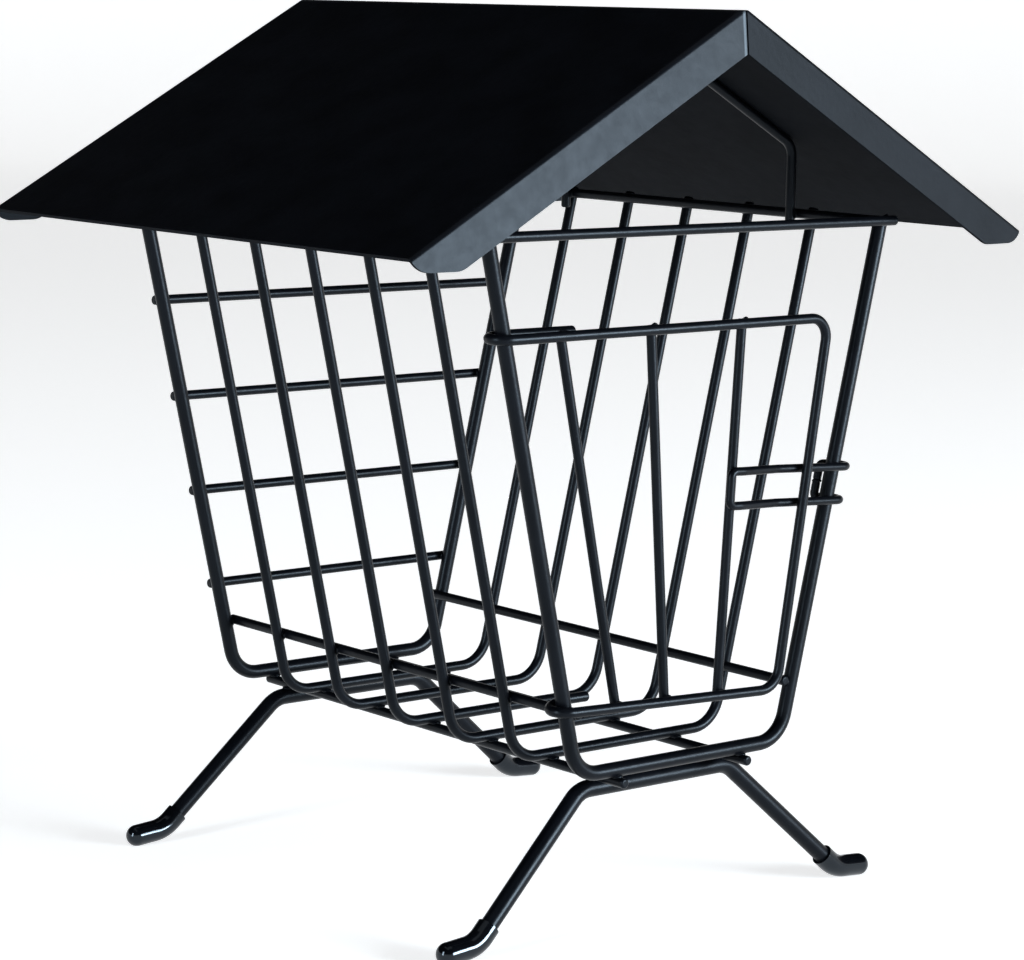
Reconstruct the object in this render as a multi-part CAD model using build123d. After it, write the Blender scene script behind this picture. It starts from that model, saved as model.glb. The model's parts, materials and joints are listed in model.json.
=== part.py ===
from build123d import *
import os
from math import atan, cos, pi, radians, sin, tan

# A free-standing hay rack for small animals: a wire cage that narrows downwards, on two bent wire
# legs, under a folded sheet-metal gable roof, with a hinged and latched wire door in one gable.
# +X runs across the gables, the door gable faces -Y, +Z is up, and the feet stand on z = 0.

# --- driving dimensions (mm) ---
CAGE_LENGTH = 146.0          # between the centre planes of the two end frames
CAGE_SHIFT = -0.8            # the cage stands this far in front of the middle of the roof
CAGE_FOOT_Z = 41.8           # height at which the side lines meet the cage bottom
CAGE_HEIGHT = 133.4          # from there to where TOP_HALF_WIDTH is measured
FOOT_HALF_WIDTH = 34.0       # cage half width at CAGE_FOOT_Z
TOP_HALF_WIDTH = 64.9        # cage half width at that height above CAGE_FOOT_Z
HOOP_COUNT = 5               # thin hoops between the end frames
CORNER_RADIUS = 9.0          # bend of hoops and end frames at the cage bottom

FRAME_WIRE = 3.8
HOOP_WIRE = 2.8
RAIL_WIRE = 2.6
DOOR_WIRE = 2.6
DOOR_BAR_WIRE = 2.5
LATCH_WIRE = 2.2
LEG_WIRE = 4.5

ROOF_HALF_WIDTH = 101.0
ROOF_LENGTH = 180.6
ROOF_EAVE_Z = 173.6
ROOF_APEX_Z = 230.3          # where the two outer roof planes would meet
ROOF_SHEET = 0.9
ROOF_RIDGE_RADIUS = 5.0      # outer bend radius along the ridge
FLANGE_DEPTH = 9.8           # gable flange, measured down its own face
FLANGE_FLARE = 7.0           # degrees that the gable flange leans outwards
FLANGE_TAIL_DROP = 3.3       # the flange ends this far below the eave
FLANGE_TAIL_RADIUS = 6.0
FLANGE_TIP_RADIUS = 6.0
FLANGE_SEAM = 0.5            # gap between the two flange halves below the ridge
FOLD_RADIUS = 1.2            # outer radius of the fold between slope and flange

FLOOR_RAIL_Z = 39.4
FLOOR_RAIL_X = 21.0
FLOOR_RAIL_OVERHANG = 3.2    # past the end frames' centre planes
SIDE_RAIL_Z = 58.3
RIM_RAIL_Z = 176.2
RAIL_OVERHANG = 1.5
TOP_RAIL_Z = 176.2           # the two rails across the gables
TOP_RAIL_OVERHANG = 2.3      # past the centre of the end frame's posts
REAR_BAR_Z = [68.7, 95.3, 121.9, 148.5]
REAR_BAR_OVERHANG = 1.0
BOW_Y = 45.6                 # roof bows stand this far from the middle of the cage

LEG_BAR_Y = (-64.2, 66.4)    # the bars of the front and rear legs, under the cage
FOOT_Y = (-69.1, 67.9)       # their feet, which splay outwards
LEG_BEND_X = 25.0
LEG_BEND_RADIUS = 8.0
TOE_BEND = (61.5, 3.4)       # x and z where the leg turns into the toe
TOE_TIP = (70.2, 2.7)        # x and z of the toe's rounded tip
TOE_RADIUS = 9.0
CAP_DIAMETER = 5.9
CAP_LENGTH_UP_LEG = 5.8      # from the toe bend up the leg to the cap's mouth

DOOR_TOP_Z = (152.0, 152.65)   # top bar at the hinge loop and at the free edge
DOOR_FOOT_Z = (59.9, 57.9)     # bottom bar at the hinge loop and at the free edge
DOOR_EDGE_X = (41.5, 27.9)     # free edge at the top and at the bottom
DOOR_BARS = [(-43.8, -23.2), (-15.4, -7.5), (14.3, 10.0)]   # x at the top, x at the bottom
DOOR_BAR_END = 0.9           # the door bars run this far past the bars they are welded to
HINGE_GAP = 0.25             # between the hinge loops and the post
HINGE_TAIL = (24.0, 10.0)    # how far the upper and the lower loop run back behind the post
DOOR_AJAR = 1.8              # degrees: the closed door rests this far out, on its latch

LATCH_TILT = 3.1             # degrees: the latch arms are square to the leaning door bar
LATCH_GRIP = (10.0, 115.4)   # x and z of the upper corner at the grip
LATCH_HEIGHT = 8.7           # between the two arms
LATCH_GRIP_Y = -5.5          # from the front frame's plane, in front of the third door bar
LATCH_LINK_SHIFT = 1.3       # the link behind the post sits this far left of its centre
LATCH_JOG = (3.8, 17.9)      # arm lengths at which the jog between grip plane and post plane lies
LATCH_BUTT_GAP = 0.4         # where the latch wire's two ends meet behind the post

# --- derived values ---
FRONT_Y = CAGE_SHIFT - CAGE_LENGTH / 2
REAR_Y = CAGE_SHIFT + CAGE_LENGTH / 2
LEAN = atan((TOP_HALF_WIDTH - FOOT_HALF_WIDTH) / CAGE_HEIGHT)
FRAME_SHIFT = (FRAME_WIRE - HOOP_WIRE) / 2
ROOF_PITCH = atan((ROOF_APEX_Z - ROOF_EAVE_Z) / ROOF_HALF_WIDTH)
HINGE_OFFSET = FRAME_WIRE / 2 + DOOR_WIRE / 2 + HINGE_GAP
UPPER_LOOP_RISE = 0.4
LOWER_LOOP_RISE = 2 * HINGE_OFFSET * tan(LEAN)   # square to the leaning post
LATCH_OFFSET = FRAME_WIRE / 2 + LATCH_WIRE / 2 + 0.3
SOFT_END = 0.45              # wire ends are rounded by this share of the wire's radius


def side_x(z, shift=0.0):
    """Half width of the cage at height z, for a centreline moved outwards by shift."""
    return FOOT_HALF_WIDTH + (z - CAGE_FOOT_Z) * tan(LEAN) + shift / cos(LEAN)


def bent_wire(points, diameter, radii):
    """A round wire along straight runs joined by bends, with slightly rounded ends."""
    path = FilletPolyline(*points, radius=radii)
    section = Plane(path @ 0, z_dir=path % 0) * Circle(diameter / 2)
    wire = sweep(section, path)
    return soften_ends(wire, [path @ 0, path @ 1], diameter)


def straight_wire(start, end, diameter):
    """A straight round wire from start to end, with slightly rounded ends."""
    axis = Vector(*end) - Vector(*start)
    wire = extrude(Plane(start, z_dir=axis) * Circle(diameter / 2), axis.length)
    return soften_ends(wire, [Vector(*start), Vector(*end)], diameter)


def soften_ends(wire, ends, diameter):
    circles = wire.edges().filter_by(GeomType.CIRCLE)
    rims = [edge for edge in circles for end in ends if (edge.arc_center - end).length < 0.01]
    return fillet(rims, SOFT_END * diameter / 2)


def u_wire(y, diameter, top_z, shift):
    """One U of the cage: down the left side, across the bottom and up the right side."""
    foot_z = FLOOR_RAIL_Z + RAIL_WIRE / 2 + diameter / 2
    foot_x = side_x(foot_z, shift)
    top_x = side_x(top_z, shift)
    points = [(-top_x, y, top_z), (-foot_x, y, foot_z), (foot_x, y, foot_z), (top_x, y, top_z)]
    return bent_wire(points, diameter, CORNER_RADIUS)


def end_frame(y):
    return u_wire(y, FRAME_WIRE, TOP_RAIL_Z + 0.9, FRAME_SHIFT)


def hoop(y):
    return u_wire(y, HOOP_WIRE, RIM_RAIL_Z + 1.6, 0.0)


def cross_rail(y, z, overhang):
    """A horizontal rail across a gable, on the outside of the end frame."""
    half = side_x(z, FRAME_SHIFT) + overhang
    outward = (FRAME_WIRE + RAIL_WIRE) / 2 * (1 if y > 0 else -1)
    return straight_wire((-half, y + outward, z), (half, y + outward, z), RAIL_WIRE)


def long_rail(x, z, overhang):
    return straight_wire((x, FRONT_Y - overhang, z), (x, REAR_Y + overhang, z), RAIL_WIRE)


def inner_rail_x(z):
    """x of a rail that runs along the inside of the hoops at height z."""
    return side_x(z) - (HOOP_WIRE + RAIL_WIRE) / 2 / cos(LEAN)


def roof_bow(y):
    """A wire bow that stands inside the rim rails and carries the roof sheet along both slopes."""
    foot_x = inner_rail_x(RIM_RAIL_Z) - RAIL_WIRE
    under = (ROOF_SHEET + RAIL_WIRE / 2) / cos(ROOF_PITCH)
    apex_z = ROOF_APEX_Z - under
    shoulder_z = apex_z - foot_x * tan(ROOF_PITCH)
    foot_z = RIM_RAIL_Z - 4.0
    points = [(-foot_x, y, foot_z), (-foot_x, y, shoulder_z), (0, y, apex_z),
              (foot_x, y, shoulder_z), (foot_x, y, foot_z)]
    return bent_wire(points, RAIL_WIRE, [5.0, 6.0, 5.0])


def leg_points(end):
    """Corner points of the front (end 0) or rear (end 1) leg wire, from the left toe to the right one."""
    bar_z = FLOOR_RAIL_Z - RAIL_WIRE / 2 - LEG_WIRE / 2
    foot_y = FOOT_Y[end]
    bend = (LEG_BEND_X, LEG_BAR_Y[end], bar_z)
    right = [bend, (TOE_BEND[0], foot_y, TOE_BEND[1]), (TOE_TIP[0], foot_y, TOE_TIP[1])]
    left = [(-x, y, z) for x, y, z in reversed(right)]
    return left + right


def leg(end):
    """Toe, leg, bar under the cage, leg and toe, bent from one wire."""
    points = leg_points(end)
    return bent_wire(points, LEG_WIRE, [TOE_RADIUS, LEG_BEND_RADIUS, LEG_BEND_RADIUS, TOE_RADIUS])


def foot_cap(end, side):
    """A dipped vinyl cap over one toe, with its rounded tip worn flat where it stands."""
    bend, toe, tip = [Vector(*point) for point in leg_points(end)[3:]]
    mouth = toe + (bend - toe).normalized() * CAP_LENGTH_UP_LEG
    path = FilletPolyline(mouth, toe, tip, radius=TOE_RADIUS)
    section = Plane(path @ 0, z_dir=path % 0) * Circle(CAP_DIAMETER / 2)
    cap = sweep(section, path) + Pos(*tip) * Sphere(CAP_DIAMETER / 2)
    above_floor = Pos(tip.X, tip.Y, 0) * Box(60, 60, 60, align=(Align.CENTER, Align.CENTER, Align.MIN))
    cap = (cap & above_floor) - leg(end)
    return cap if side > 0 else mirror(cap, Plane.YZ)


def roof_profile(inset):
    """The gable outline of the roof sheet, moved inwards from the outer face by inset."""
    apex_z = ROOF_APEX_Z - inset / cos(ROOF_PITCH)
    eave_x = ROOF_HALF_WIDTH - inset * sin(ROOF_PITCH)
    eave_z = ROOF_EAVE_Z - inset * cos(ROOF_PITCH)
    points = [(-eave_x, 0, eave_z), (0, 0, apex_z), (eave_x, 0, eave_z)]
    return FilletPolyline(*points, radius=ROOF_RIDGE_RADIUS - inset)


def roof_sheet(length):
    outer, inner = roof_profile(0.0), roof_profile(ROOF_SHEET)
    eaves = [Line(outer @ end, inner @ end) for end in (0, 1)]
    face = make_face(outer.edges() + inner.edges() + eaves[0].edges() + eaves[1].edges())
    return extrude(face, length / 2, both=True)


def fold_section():
    """Section across a gable edge: a strip of the slope, the fold and the flange, x outwards."""
    flare = radians(FLANGE_FLARE)
    half_turn = (pi / 2 - flare) / 2
    outer_end = Vector(sin(flare), cos(flare)) * (FLANGE_DEPTH + 1)
    inner_end = outer_end - Vector(cos(flare), -sin(flare)) * ROOF_SHEET
    inner_corner = Vector(-ROOF_SHEET * tan(half_turn), ROOF_SHEET)
    outer = FilletPolyline((-4, 0), (0, 0), outer_end, radius=FOLD_RADIUS)
    inner = FilletPolyline((-4, ROOF_SHEET), inner_corner, inner_end, radius=FOLD_RADIUS - ROOF_SHEET)
    ends = [Line(outer @ end, inner @ end) for end in (0, 1)]
    return make_face(outer.edges() + inner.edges() + ends[0].edges() + ends[1].edges())


def flange_outline():
    """Side view of a flange half: x down the slope from the apex, y down the flange."""
    fall = cos(radians(FLANGE_FLARE)) * cos(ROOF_PITCH)
    length = ROOF_HALF_WIDTH / cos(ROOF_PITCH)
    tail_back = (FLANGE_DEPTH * fall - FLANGE_TAIL_DROP) / sin(ROOF_PITCH)
    edge = FilletPolyline(
        (-20, FLANGE_DEPTH), (length - tail_back, FLANGE_DEPTH),
        (length, FLANGE_TAIL_DROP / fall), (length, -2),
        radius=[FLANGE_TAIL_RADIUS, FLANGE_TIP_RADIUS])
    top = Polyline((length, -2), (-20, -2), (-20, FLANGE_DEPTH))
    return make_face(edge.edges() + top.edges())


def flange_half():
    """The folded edge on the right of the door gable, mitred where it meets its other half."""
    flare = radians(FLANGE_FLARE)
    apex = Vector(0, -ROOF_LENGTH / 2, ROOF_APEX_Z)
    slope = Vector(cos(ROOF_PITCH), 0, -sin(ROOF_PITCH))
    inwards = Vector(-sin(ROOF_PITCH), 0, -cos(ROOF_PITCH))
    down = inwards * cos(flare) + Vector(0, -sin(flare), 0)
    strip = extrude(Plane(apex, x_dir=(0, -1, 0), z_dir=slope) * fold_section(), ROOF_HALF_WIDTH * 1.2)
    side_view = Plane(apex, x_dir=slope, z_dir=slope.cross(down)) * flange_outline()
    right_half = Box(300, 600, 600, align=(Align.MIN, Align.CENTER, Align.CENTER))
    return strip & extrude(side_view, 3.0, both=True) & (Pos(FLANGE_SEAM / 2, 0, 0) * right_half)


def roof_panel():
    """One folded sheet: two slopes, a rounded ridge and a flared flange round each gable edge."""
    half = flange_half()
    front = half + mirror(half, Plane.YZ)
    sheet = roof_sheet(ROOF_LENGTH - 2 * FOLD_RADIUS)
    outer = roof_profile(0.0)
    under = Polyline(outer @ 1, (ROOF_HALF_WIDTH, 0, 0), (-ROOF_HALF_WIDTH, 0, 0), outer @ 0)
    envelope = extrude(make_face(outer.edges() + under.edges()), ROOF_LENGTH, both=True)
    return (sheet + front + mirror(front, Plane.XZ)) & envelope


def on_post(z, side):
    """Centre of a front corner post at height z."""
    return Vector(side * side_x(z, FRAME_SHIFT), FRONT_Y, z)


def set_ajar(shape):
    """Turns a door piece out about the post on the left until the latch holds it."""
    foot, top = on_post(CAGE_FOOT_Z, -1), on_post(TOP_RAIL_Z, -1)
    return shape.rotate(Axis(foot, top - foot), -DOOR_AJAR)


def hinge_turn(z, rise, tail):
    """Corner points that take the door wire round the post on the left, from its tail to the front.

    The wire comes in at height z and has climbed by rise where it leaves behind the post."""
    post = on_post(z + rise / 2, -1)
    back, front = FRONT_Y + HINGE_OFFSET, FRONT_Y - HINGE_OFFSET
    return [Vector(post.X + tail, back, z + rise), Vector(post.X + HINGE_OFFSET, back, z + rise),
            Vector(post.X - HINGE_OFFSET, back, z), Vector(post.X - HINGE_OFFSET, front, z)]


def door_outline():
    """Upper hinge loop, top bar, free edge, bottom bar and lower hinge loop."""
    door_y = FRONT_Y - HINGE_OFFSET
    upper = hinge_turn(DOOR_TOP_Z[0], UPPER_LOOP_RISE, HINGE_TAIL[0])
    lower = hinge_turn(DOOR_FOOT_Z[0], LOWER_LOOP_RISE, HINGE_TAIL[1])
    free_edge = [Vector(DOOR_EDGE_X[0], door_y, DOOR_TOP_Z[1]),
                 Vector(DOOR_EDGE_X[1], door_y, DOOR_FOOT_Z[1])]
    return upper + free_edge + lower[::-1]


def door_frame():
    """The door's outline, bent from one wire."""
    loop = HINGE_OFFSET - 0.02
    radii = [2.0, loop, loop, 5.0, 6.0, loop, loop, 2.0]
    return set_ajar(bent_wire(door_outline(), DOOR_WIRE, radii))


def door_bar(top_x, foot_x):
    """A straight bar welded behind the door's top and bottom bars."""
    top_left, top_right, foot_right, foot_left = door_outline()[3:7]
    top_share = (top_x - top_left.X) / (top_right.X - top_left.X)
    foot_share = (foot_x - foot_left.X) / (foot_right.X - foot_left.X)
    top = top_left + (top_right - top_left) * top_share
    foot = foot_left + (foot_right - foot_left) * foot_share
    y = top.Y + (DOOR_WIRE + DOOR_BAR_WIRE) / 2
    start, end = (foot_x, y, foot.Z - DOOR_BAR_END), (top_x, y, top.Z + DOOR_BAR_END)
    return set_ajar(straight_wire(start, end, DOOR_BAR_WIRE))


def latch_arm(along, arm_y, drop):
    """A point of a latch arm, by its distance from the grip, its y and its drop from the top arm."""
    tilt = radians(LATCH_TILT)
    x = LATCH_GRIP[0] + along * cos(tilt) - drop * sin(tilt)
    z = LATCH_GRIP[1] - along * sin(tilt) - drop * cos(tilt)
    return Vector(x, FRONT_Y + arm_y, z)


def latch_side(drop):
    """Points of one arm from the grip to the link: along the arm, round the post and back."""
    post = on_post(latch_arm(36, 0, drop).Z, 1)
    turn = post.X - latch_arm(0, 0, drop).X + LATCH_OFFSET
    link = turn - LATCH_OFFSET - LATCH_LINK_SHIFT
    return [latch_arm(0, LATCH_GRIP_Y, drop), latch_arm(LATCH_JOG[0], LATCH_GRIP_Y, drop),
            latch_arm(LATCH_JOG[1], -LATCH_OFFSET, drop), latch_arm(turn, -LATCH_OFFSET, drop),
            latch_arm(turn, LATCH_OFFSET, drop), latch_arm(link, LATCH_OFFSET, drop)]


def door_latch():
    """A spring-wire clip: a grip, two arms and hooks round the right post, joined behind it."""
    upper, lower = latch_side(0.0), latch_side(LATCH_HEIGHT)
    middle = (upper[-1] + lower[-1]) / 2
    half_gap = (upper[-1] - lower[-1]).normalized() * LATCH_BUTT_GAP / 2
    points = [middle + half_gap] + upper[::-1] + lower + [middle - half_gap]
    hook = LATCH_OFFSET - 0.2
    radii = [1.15, hook, hook, 6.0, 6.0, 1.6, 1.6, 6.0, 6.0, hook, hook, 1.15]
    return bent_wire(points, LATCH_WIRE, radii)


def all_parts():
    parts = {"front_end_frame": end_frame(FRONT_Y), "rear_end_frame": end_frame(REAR_Y)}
    for index in range(HOOP_COUNT):
        y = FRONT_Y + (index + 1) * CAGE_LENGTH / (HOOP_COUNT + 1)
        parts[f"hoop_{index + 1}"] = hoop(y)
    parts["front_top_rail"] = cross_rail(FRONT_Y, TOP_RAIL_Z, TOP_RAIL_OVERHANG)
    parts["rear_top_rail"] = cross_rail(REAR_Y, TOP_RAIL_Z, TOP_RAIL_OVERHANG)
    for index, z in enumerate(REAR_BAR_Z):
        parts[f"rear_bar_{index + 1}"] = cross_rail(REAR_Y, z, REAR_BAR_OVERHANG)
    for name, side in (("left", -1), ("right", 1)):
        parts[f"side_rail_{name}"] = long_rail(side * inner_rail_x(SIDE_RAIL_Z), SIDE_RAIL_Z, RAIL_OVERHANG)
        parts[f"rim_rail_{name}"] = long_rail(side * inner_rail_x(RIM_RAIL_Z), RIM_RAIL_Z, RAIL_OVERHANG)
        parts[f"floor_rail_{name}"] = long_rail(side * FLOOR_RAIL_X, FLOOR_RAIL_Z, FLOOR_RAIL_OVERHANG)
    for name, end in (("front", -1), ("rear", 1)):
        parts[f"roof_bow_{name}"] = roof_bow(CAGE_SHIFT + end * BOW_Y)
    for end, name in enumerate(("front", "rear")):
        parts[f"{name}_legs"] = leg(end)
        parts[f"foot_cap_{name}_left"] = foot_cap(end, -1)
        parts[f"foot_cap_{name}_right"] = foot_cap(end, 1)
    parts["roof_panel"] = roof_panel()
    parts["door_frame"] = door_frame()
    for index, (top_x, foot_x) in enumerate(DOOR_BARS):
        parts[f"door_bar_{index + 1}"] = door_bar(top_x, foot_x)
    parts["door_latch"] = door_latch()
    return parts


os.makedirs("parts", exist_ok=True)
for node, shape in all_parts().items():
    export_step(shape, f"parts/{node}.step")
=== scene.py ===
"""Looks of the hay rack feeder: powder-coated wires and roof sheet, dipped vinyl toe caps, studio."""
import json
from math import cos, radians, sin

import bmesh
import bpy
from mathutils import Matrix, Vector
from mathutils.noise import noise as noise_value


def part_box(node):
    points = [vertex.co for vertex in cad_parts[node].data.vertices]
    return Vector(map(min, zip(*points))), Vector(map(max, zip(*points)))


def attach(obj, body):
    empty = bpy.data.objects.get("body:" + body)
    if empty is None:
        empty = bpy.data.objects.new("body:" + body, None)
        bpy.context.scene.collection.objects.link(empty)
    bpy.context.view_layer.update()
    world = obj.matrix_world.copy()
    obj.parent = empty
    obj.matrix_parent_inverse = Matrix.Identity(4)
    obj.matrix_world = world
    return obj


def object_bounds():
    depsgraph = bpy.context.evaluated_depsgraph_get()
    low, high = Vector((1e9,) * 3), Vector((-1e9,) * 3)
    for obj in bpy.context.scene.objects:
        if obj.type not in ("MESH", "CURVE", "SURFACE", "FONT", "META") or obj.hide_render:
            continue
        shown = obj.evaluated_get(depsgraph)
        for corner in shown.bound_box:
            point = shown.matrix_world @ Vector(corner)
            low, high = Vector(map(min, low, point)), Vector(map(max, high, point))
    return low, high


MM = 0.001

# --- the wires' sizes and ends, as in the CAD model ---
CAGE_LEAN = radians(13.04)            # of the cage's sides from the vertical
RAIL_RADIUS = 1.3 * MM
DOOR_BAR_RADIUS = 1.25 * MM
LEG_RADIUS = 2.25 * MM
LATCH_RADIUS = 1.1 * MM
REAR_BAR_OVERHANG = 1.0 * MM          # past the centre of the posts
TOP_RAIL_OVERHANG = 2.3 * MM
DOOR_BAR_END = 0.9 * MM               # past the centre of the bars that it crosses

# --- welds: half sizes along x, y and z in mm ---
CROSSING_FLAT = (1.5, 1.4, 0.55)      # one wire lies on the other
CROSSING_SIDE = (0.6, 1.4, 1.5)       # a rail along the inside of the leaning wires
CROSSING_END = (1.5, 0.55, 1.5)       # a bar across the face of two posts
BUTT = (1.25, 1.25, 0.7)              # the ends of the latch wire, one on the other
WELD_LUMPS = 0.16                     # depth of a nugget's lumps, as a share of its size
LUMP_SCALE = 1.4

# --- camera: where it stands around the rack, in metres and radians ---
CAMERA_AZIMUTH = radians(39.66)       # to the left of the door gable's normal
CAMERA_ELEVATION = radians(8.574)
CAMERA_ROLL = radians(1.053)
CAMERA_DISTANCE = 0.8655
CAMERA_AIM_OFFSET = Vector((0.0013, -0.0039, -0.0104))   # from the middle of the rack's box
CAMERA_LENS = 114.36                  # mm, on a sensor 36 mm wide

# --- studio ---
FLOOR_RADIUS = 3.4
SWEEP_RADIUS = 0.9                    # of the curve from the floor up into the wall
SWEEP_STEPS = 16
BACKDROP_SIDES = 96
FLOOR_WHITE = (0.80, 0.80, 0.80, 1.0)
FLOOR_GLOW = 0.68                     # keeps the far floor as pale as the floor by the rack
HORIZON = (0.35, 0.35, 0.36, 1.0)
CEILING = (0.006, 0.006, 0.0063, 1.0)
COOL = (0.84, 0.93, 1.0)              # the softboxes' colour

# --- coats ---
COAT_DARK = (0.0012, 0.0015, 0.0024, 1.0)
COAT_LIGHT = (0.0026, 0.0031, 0.0046, 1.0)
COAT_SHEEN = (0.74, 0.87, 1.0, 1.0)   # the cold tint of its highlights
COAT_CLOUDS = 60.0                    # features per metre, as are the next three
COAT_SMUDGES = 260.0
COAT_PEEL = 700.0
COAT_GRAIN = 3200.0
PEEL_DEPTH = 0.03 * MM
GRAIN_DEPTH = 0.012 * MM
WIRE_GLOSS = (0.29, 0.36)             # its lowest and highest roughness
SHEET_GLOSS = (0.37, 0.43)
WIRE_SPECULAR = 0.13
SHEET_SPECULAR = 0.10
UNDERSIDE_MATT = 0.55                 # added to the roughness of the roof's underside
SEAM_HIGHLIGHT_COLOR = (0.075, 0.092, 0.108, 1.0)  # painted highlight: a pale colour for the flanges' rounded edge at the apex seam
SEAM_HIGHLIGHT_WIDTH = 1.3 * MM
VINYL_DARK = (0.0010, 0.0012, 0.0018, 1.0)
VINYL_LIGHT = (0.0025, 0.0030, 0.0042, 1.0)
VINYL_GLOSS = (0.06, 0.13)
VINYL_SPECULAR = 0.42
RIPPLE_DEPTH = 0.10 * MM


# --- node helpers ---

def new_material(name):
    """An empty material with its Principled shader linked to the output."""
    material = bpy.data.materials.new(name)
    material.use_nodes = True
    tree = material.node_tree
    tree.nodes.clear()
    output = tree.nodes.new("ShaderNodeOutputMaterial")
    shader = tree.nodes.new("ShaderNodeBsdfPrincipled")
    tree.links.new(shader.outputs["BSDF"], output.inputs["Surface"])
    return material, tree, shader


def noise(tree, scale, detail=3.0, roughness=0.5):
    """A noise texture in object space, its scale in features per metre."""
    coordinates = tree.nodes.new("ShaderNodeTexCoord")
    texture = tree.nodes.new("ShaderNodeTexNoise")
    texture.inputs["Scale"].default_value = scale
    texture.inputs["Detail"].default_value = detail
    texture.inputs["Roughness"].default_value = roughness
    tree.links.new(coordinates.outputs["Object"], texture.inputs["Vector"])
    return texture.outputs["Fac"]


def ramp(tree, factor, stops):
    """A colour ramp on a factor; stops are (position, colour) pairs."""
    node = tree.nodes.new("ShaderNodeValToRGB")
    elements = node.color_ramp.elements
    elements[0].position, elements[0].color = stops[0]
    elements[1].position, elements[1].color = stops[-1]
    for position, color in stops[1:-1]:
        elements.new(position).color = color
    tree.links.new(factor, node.inputs["Fac"])
    return node.outputs["Color"]


def spread(tree, factor, low, high, start=0.3, end=0.7):
    """The factor's range from start to end stretched over low to high."""
    node = tree.nodes.new("ShaderNodeMapRange")
    node.inputs["From Min"].default_value = start
    node.inputs["From Max"].default_value = end
    node.inputs["To Min"].default_value = low
    node.inputs["To Max"].default_value = high
    tree.links.new(factor, node.inputs["Value"])
    return node.outputs["Result"]


def bump(tree, height, distance, strength=1.0, under=None):
    node = tree.nodes.new("ShaderNodeBump")
    node.inputs["Strength"].default_value = strength
    node.inputs["Distance"].default_value = distance
    tree.links.new(height, node.inputs["Height"])
    if under is not None:
        tree.links.new(under, node.inputs["Normal"])
    return node.outputs["Normal"]


def axes(tree, output):
    """The x, y and z of an object-space vector: "Object" for the place, "Normal" for the facing."""
    coordinates = tree.nodes.new("ShaderNodeTexCoord")
    split = tree.nodes.new("ShaderNodeSeparateXYZ")
    tree.links.new(coordinates.outputs[output], split.inputs["Vector"])
    return split.outputs


def blend(tree, operation, first, second):
    """The two factors, put together by a math node."""
    node = tree.nodes.new("ShaderNodeMath")
    node.operation = operation
    tree.links.new(first, node.inputs[0])
    tree.links.new(second, node.inputs[1])
    return node.outputs["Value"]


# --- materials ---

def powder_coat(name, gloss, specular):
    """Black powder coat: a satin film with orange peel, fine grain and slight changes of gloss."""
    material, tree, shader = new_material(name)
    clouds = noise(tree, COAT_CLOUDS, 4.0, 0.6)
    tree.links.new(ramp(tree, clouds, [(0.35, COAT_DARK), (0.65, COAT_LIGHT)]), shader.inputs["Base Color"])
    smudges = noise(tree, COAT_SMUDGES, 5.0, 0.65)
    tree.links.new(spread(tree, smudges, *gloss), shader.inputs["Roughness"])
    peel = bump(tree, noise(tree, COAT_PEEL, 1.5), PEEL_DEPTH)
    grain = bump(tree, noise(tree, COAT_GRAIN, 2.0), GRAIN_DEPTH, under=peel)
    tree.links.new(grain, shader.inputs["Normal"])
    shader.inputs["Specular IOR Level"].default_value = specular
    shader.inputs["Specular Tint"].default_value = COAT_SHEEN
    return material, tree, shader


def roof_coat(name):
    """The powder coat of the roof: matt underneath, with a painted highlight along the flanges' rounded
    edge at the apex seam.
    """
    material, tree, shader = powder_coat(name, SHEET_GLOSS, SHEET_SPECULAR)
    facing = axes(tree, "Normal")
    gloss = shader.inputs["Roughness"].links[0].from_socket
    matt = spread(tree, facing["Z"], UNDERSIDE_MATT, 0.0, -0.6, -0.2)
    tree.links.new(blend(tree, "ADD", gloss, matt), shader.inputs["Roughness"])
    # Painted highlight: a pale band of base colour along the apex seam of the gable flanges.
    x = axes(tree, "Object")["X"]
    rise = spread(tree, x, 0.0, 1.0, -SEAM_HIGHLIGHT_WIDTH, -0.75 * SEAM_HIGHLIGHT_WIDTH)
    fall = spread(tree, x, 1.0, 0.0, -0.45 * SEAM_HIGHLIGHT_WIDTH, -0.25 * SEAM_HIGHLIGHT_WIDTH)
    gable = spread(tree, facing["Y"], 1.0, 0.0, -0.95, -0.8)
    highlight_band = blend(tree, "MULTIPLY", blend(tree, "MULTIPLY", rise, fall), gable)
    seam_highlight = tree.nodes.new("ShaderNodeMixRGB")
    tree.links.new(highlight_band, seam_highlight.inputs["Fac"])
    tree.links.new(shader.inputs["Base Color"].links[0].from_socket, seam_highlight.inputs["Color1"])
    seam_highlight.inputs["Color2"].default_value = SEAM_HIGHLIGHT_COLOR
    tree.links.new(seam_highlight.outputs["Color"], shader.inputs["Base Color"])
    return material


def vinyl(name):
    """Dipped black vinyl: glossy, slightly rippled where the dip ran."""
    material, tree, shader = new_material(name)
    clouds = noise(tree, 120.0)
    color = ramp(tree, clouds, [(0.3, VINYL_DARK), (0.7, VINYL_LIGHT)])
    tree.links.new(color, shader.inputs["Base Color"])
    tree.links.new(spread(tree, noise(tree, 300.0), *VINYL_GLOSS), shader.inputs["Roughness"])
    tree.links.new(bump(tree, noise(tree, 190.0, 1.0), RIPPLE_DEPTH), shader.inputs["Normal"])
    shader.inputs["Specular IOR Level"].default_value = VINYL_SPECULAR
    shader.inputs["Specular Tint"].default_value = COAT_SHEEN
    return material


def dress(node, material):
    """Gives a CAD node its material."""
    mesh = node.data
    mesh.materials.clear()
    mesh.materials.append(material)


# --- welds ---

def centre(node):
    low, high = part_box(node)
    return (low + high) / 2


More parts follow.
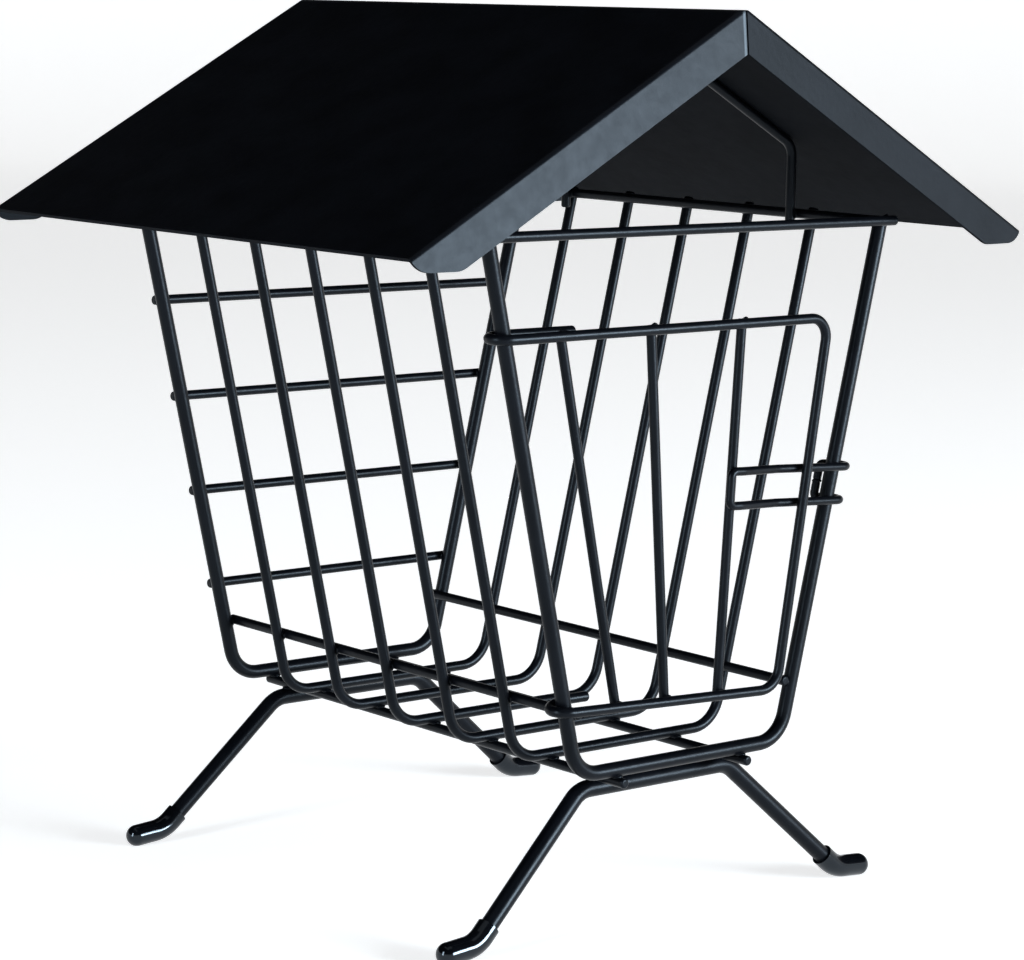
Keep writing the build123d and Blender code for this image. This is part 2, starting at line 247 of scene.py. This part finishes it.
def add_nugget(sheet, contact, reach):
    """A lumpy nugget at the contact of two wires; reach is its half size along x, y and z in mm."""
    nugget = bmesh.ops.create_icosphere(sheet, subdivisions=3, radius=1.0)
    for vertex in nugget["verts"]:
        lumps = noise_value(vertex.co * LUMP_SCALE + contact / MM)
        swell = MM * (1.0 + WELD_LUMPS * lumps)
        vertex.co = Vector([along * half for along, half in zip(vertex.co, reach)]) * swell + contact


def rack_welds():
    """Contacts of the crossing wires of the cage, each with the nugget's half sizes in mm."""
    frames = ["front_end_frame", "rear_end_frame"] + [f"hoop_{number}" for number in range(1, 6)]
    bars = [(f"rear_bar_{number}", REAR_BAR_OVERHANG) for number in range(1, 5)]
    bars += [("rear_top_rail", TOP_RAIL_OVERHANG), ("front_top_rail", TOP_RAIL_OVERHANG)]
    welds = []
    for side, name in ((-1, "left"), (1, "right")):
        floor_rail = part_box(f"floor_rail_{name}")
        rail_x = centre(f"floor_rail_{name}").x
        for frame_name in frames:
            y = centre(frame_name).y
            welds.append((Vector((rail_x, y, floor_rail[1].z)), CROSSING_FLAT))
            for rail in (f"side_rail_{name}", f"rim_rail_{name}"):
                outward = Vector((side * cos(CAGE_LEAN), 0.0, -sin(CAGE_LEAN))) * RAIL_RADIUS
                welds.append((Vector((centre(rail).x, y, centre(rail).z)) + outward, CROSSING_SIDE))
        for legs, inner in (("front_legs", 1), ("rear_legs", 0)):
            bar_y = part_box(legs)[inner].y + (LEG_RADIUS if inner == 0 else -LEG_RADIUS)
            welds.append((Vector((rail_x, bar_y, floor_rail[0].z)), CROSSING_FLAT))
        for bar, overhang in bars:
            low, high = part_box(bar)
            x = side * (high.x - overhang)
            y = low.y if low.y > 0.0 else high.y
            welds.append((Vector((x, y, centre(bar).z)), CROSSING_END))
        for bow in ("roof_bow_front", "roof_bow_rear"):
            place = Vector((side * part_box(bow)[1].x, centre(bow).y, centre(f"rim_rail_{name}").z))
            welds.append((place, CROSSING_SIDE))
    return welds


def door_welds():
    """Contacts of the door bars with the bars across their tops and feet."""
    welds = []
    for number in (1, 2, 3):
        low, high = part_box(f"door_bar_{number}")
        leans_left = number < 3
        top_x = low.x + DOOR_BAR_RADIUS if leans_left else high.x - DOOR_BAR_RADIUS
        foot_x = high.x - DOOR_BAR_RADIUS if leans_left else low.x + DOOR_BAR_RADIUS
        welds.append((Vector((top_x, low.y, high.z - DOOR_BAR_END)), CROSSING_END))
        welds.append((Vector((foot_x, high.y - 2 * DOOR_BAR_RADIUS, low.z + DOOR_BAR_END)), CROSSING_END))
    return welds


def latch_welds():
    """The butt weld that joins the two ends of the latch wire in the link behind the post."""
    latch = frame["nodes"]["door_latch"]
    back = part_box("door_latch")[1].y - 2 * LATCH_RADIUS
    places = [latch.matrix_world @ vertex.co for vertex in latch.data.vertices]
    link = [place for place in places if place.y > back]
    level = sum(place.z for place in link) / len(link)
    ends = [place for place in link if abs(place.z - level) < LATCH_RADIUS]
    return [(sum(ends, Vector()) / len(ends), BUTT)]


def add_welds(name, body, welds, material):
    """All the nuggets of one body, as one piece."""
    mesh = bpy.data.meshes.new(name)
    sheet = bmesh.new()
    for contact, reach in welds:
        add_nugget(sheet, contact, reach)
    for face in sheet.faces:
        face.smooth = True
    sheet.to_mesh(mesh)
    sheet.free()
    mesh.materials.append(material)
    piece = bpy.data.objects.new(name, mesh)
    bpy.context.scene.collection.objects.link(piece)
    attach(piece, body)


# --- studio ---

def add_camera(middle):
    """The camera, looking at the rack from the left of the door gable and slightly above."""
    forward = Vector((sin(CAMERA_AZIMUTH) * cos(CAMERA_ELEVATION),
                      cos(CAMERA_AZIMUTH) * cos(CAMERA_ELEVATION), -sin(CAMERA_ELEVATION)))
    level = Vector((cos(CAMERA_AZIMUTH), -sin(CAMERA_AZIMUTH), 0.0))
    upright = level.cross(forward)
    right = level * cos(CAMERA_ROLL) + upright * sin(CAMERA_ROLL)
    up = upright * cos(CAMERA_ROLL) - level * sin(CAMERA_ROLL)
    camera = bpy.data.objects.new("camera", bpy.data.cameras.new("camera"))
    bpy.context.scene.collection.objects.link(camera)
    camera.data.lens = CAMERA_LENS
    camera.data.sensor_width = 36.0
    camera.data.clip_end = 200.0
    place = middle + CAMERA_AIM_OFFSET - forward * CAMERA_DISTANCE
    turn = Matrix((right, up, -forward)).transposed().to_4x4()
    camera.matrix_world = Matrix.Translation(place) @ turn
    bpy.context.scene.camera = camera


def add_softbox(name, place, target, width, height, power, color=(1.0, 1.0, 1.0)):
    """A rectangular area light at place, facing target."""
    light = bpy.data.lights.new(name, "AREA")
    light.shape = "RECTANGLE"
    light.size = width
    light.size_y = height
    light.energy = power
    light.color = color
    lamp = bpy.data.objects.new(name, light)
    bpy.context.scene.collection.objects.link(lamp)
    lamp.location = place
    lamp.rotation_euler = (Vector(target) - Vector(place)).to_track_quat("-Z", "Y").to_euler()


def add_world():
    """A dark ceiling over the backdrop's rim, so that the black roof slopes stay black."""
    world = bpy.data.worlds.new("studio")
    bpy.context.scene.world = world
    world.use_nodes = True
    tree = world.node_tree
    background = tree.nodes["Background"]
    coordinates = tree.nodes.new("ShaderNodeTexCoord")
    split = tree.nodes.new("ShaderNodeSeparateXYZ")
    tree.links.new(coordinates.outputs["Generated"], split.inputs["Vector"])
    sky = ramp(tree, split.outputs["Z"], [(0.10, HORIZON), (0.35, CEILING)])
    tree.links.new(sky, background.inputs["Color"])


def add_backdrop():
    """A pale floor that sweeps up into a low wall all round, so that every view ends on it."""
    profile = [(0.0, 0.0), (1.0, 0.0), (2.0, 0.0), (FLOOR_RADIUS, 0.0)]
    for step in range(1, SWEEP_STEPS + 1):
        turn = radians(90.0) * step / SWEEP_STEPS
        profile.append((FLOOR_RADIUS + SWEEP_RADIUS * sin(turn), SWEEP_RADIUS * (1 - cos(turn))))
    mesh = bpy.data.meshes.new("floor")
    sheet = bmesh.new()
    rings = []
    for radius, height in profile[1:]:
        angles = [radians(360.0) * k / BACKDROP_SIDES for k in range(BACKDROP_SIDES)]
        rings.append([sheet.verts.new((radius * cos(a), radius * sin(a), height)) for a in angles])
    sheet.faces.new(rings[0])
    for inner, outer in zip(rings, rings[1:]):
        for k in range(BACKDROP_SIDES):
            after = (k + 1) % BACKDROP_SIDES
            sheet.faces.new((inner[k], outer[k], outer[after], inner[after]))
    for face in sheet.faces:
        face.smooth = True
    sheet.to_mesh(mesh)
    sheet.free()
    floor = bpy.data.objects.new("floor", mesh)
    bpy.context.scene.collection.objects.link(floor)
    material, tree, shader = new_material("pale_floor")
    shader.inputs["Base Color"].default_value = FLOOR_WHITE
    shader.inputs["Roughness"].default_value = 0.9
    shader.inputs["Specular IOR Level"].default_value = 0.0
    shader.inputs["Emission Color"].default_value = (1.0, 1.0, 1.0, 1.0)
    shader.inputs["Emission Strength"].default_value = FLOOR_GLOW
    mesh.materials.append(material)


# --- the scene ---

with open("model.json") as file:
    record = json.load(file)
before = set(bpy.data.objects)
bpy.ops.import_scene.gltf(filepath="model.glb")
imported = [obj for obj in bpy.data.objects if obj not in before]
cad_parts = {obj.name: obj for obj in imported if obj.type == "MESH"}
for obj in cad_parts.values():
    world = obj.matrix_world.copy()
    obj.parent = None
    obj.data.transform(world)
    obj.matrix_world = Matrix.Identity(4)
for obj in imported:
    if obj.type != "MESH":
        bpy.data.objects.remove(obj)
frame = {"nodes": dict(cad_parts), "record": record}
cad_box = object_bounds()

bpy.context.scene.view_settings.view_transform = "Standard"
middle = (Vector(cad_box[0]) + Vector(cad_box[1])) / 2
add_camera(middle)
add_world()
add_backdrop()
add_softbox("key_right_front", (0.92, -1.75, 0.35), middle, 0.8, 0.6, 78.0, COOL)
add_softbox("strip_left", (-1.7, -0.2, 0.5), middle, 0.35, 0.9, 18.0, COOL)
add_softbox("top", (0.0, -0.2, 2.2), middle, 2.0, 2.0, 5.0)

wire_coat = powder_coat("wire_coat", WIRE_GLOSS, WIRE_SPECULAR)[0]
sheet_coat = roof_coat("sheet_coat")
cap_vinyl = vinyl("cap_vinyl")
finishes = {"coated_wire": wire_coat, "coated_sheet": sheet_coat, "vinyl_cap": cap_vinyl}
for part in frame["record"]["subparts"]:
    dress(frame["nodes"][part["node"]], finishes[part["material_slot"]])

add_welds("rack_welds", "rack", rack_welds(), wire_coat)
add_welds("door_welds", "door", door_welds(), wire_coat)
add_welds("latch_weld", "latch", latch_welds(), wire_coat)
